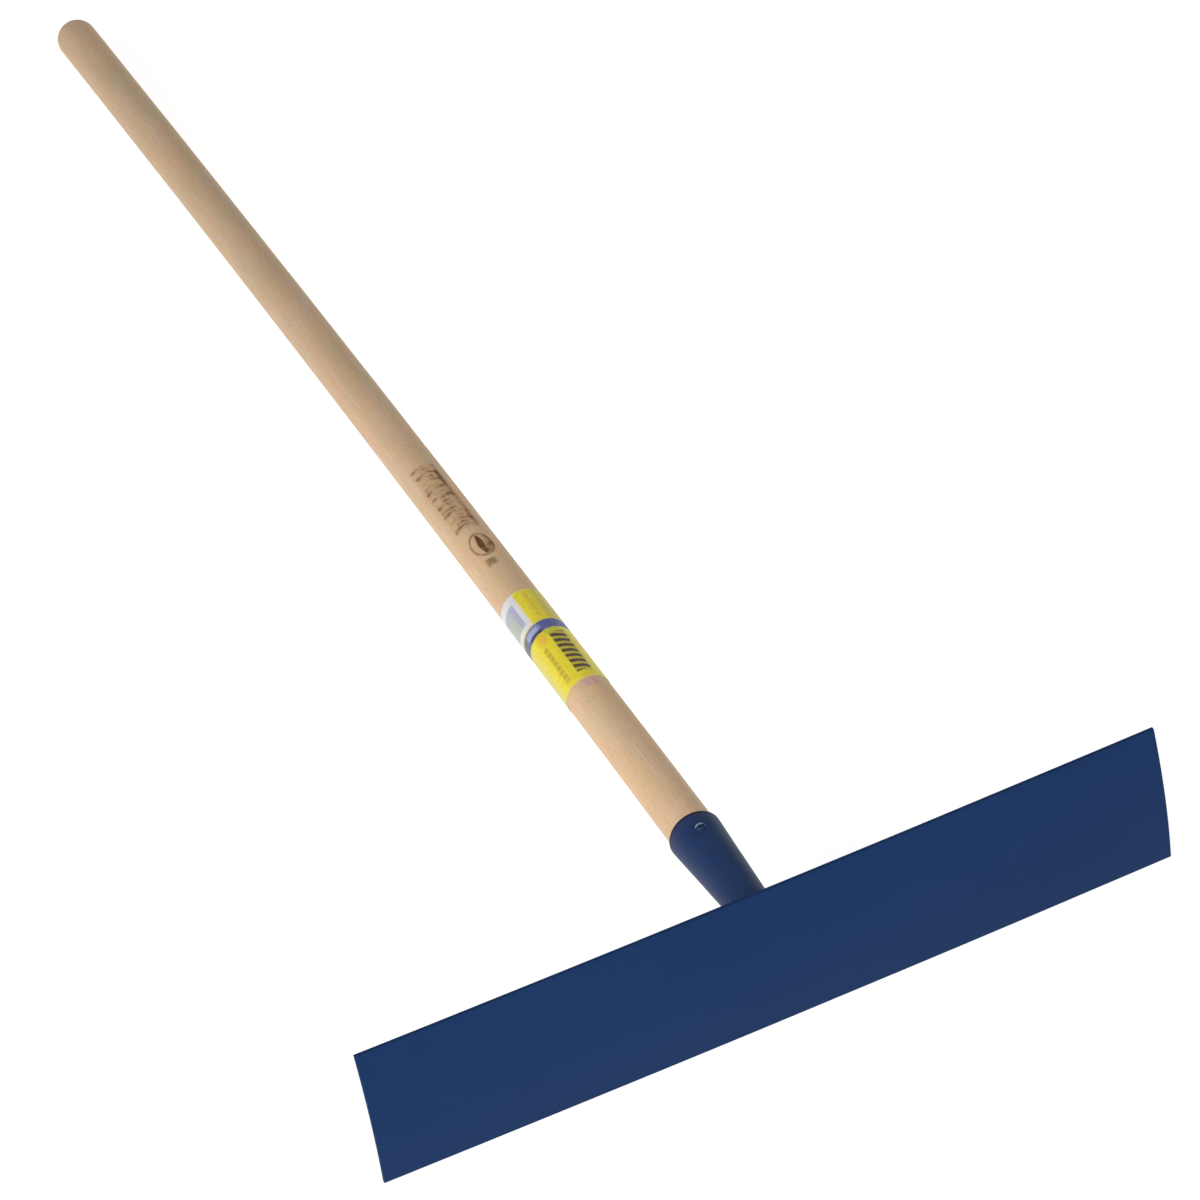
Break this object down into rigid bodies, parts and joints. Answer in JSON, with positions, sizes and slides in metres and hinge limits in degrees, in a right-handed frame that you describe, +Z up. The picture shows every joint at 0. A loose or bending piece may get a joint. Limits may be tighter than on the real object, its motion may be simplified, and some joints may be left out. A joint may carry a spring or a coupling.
{
  "type": "long-handled scraper",
  "caption": "Long-handled hand scraper: curved blue steel blade with a conical socket welded square to its back, holding a round wooden handle fixed by a screw.",
  "frame": {"origin": "middle of the blade's lower edge face, on the ground", "axes": "+X along the blade, +Y from the blade towards the handle's free end, +Z up with the tool lying as it is put down"},
  "size_m": [0.6, 1.4321, 0.117],
  "materials": {
    "blade_paint": "satin dark blue enamel with a faint ripple, thin scuffs and paint worn off the edges",
    "socket_paint": "satin dark blue enamel, darker inside the mouth",
    "weld_paint": "weld bead painted over, with fine ripples",
    "handle_wood": null,
    "screw_steel": "zinc-plated domed head, scuffed",
    "label_paper": null
  },
  "bodies": {
    "root": {"blade": "blade_paint", "socket": "socket_paint", "weld_bead": "weld_paint", "handle": "handle_wood", "fixing_screw": "screw_steel", "label": "label_paper"}
  },
  "joints": []
}
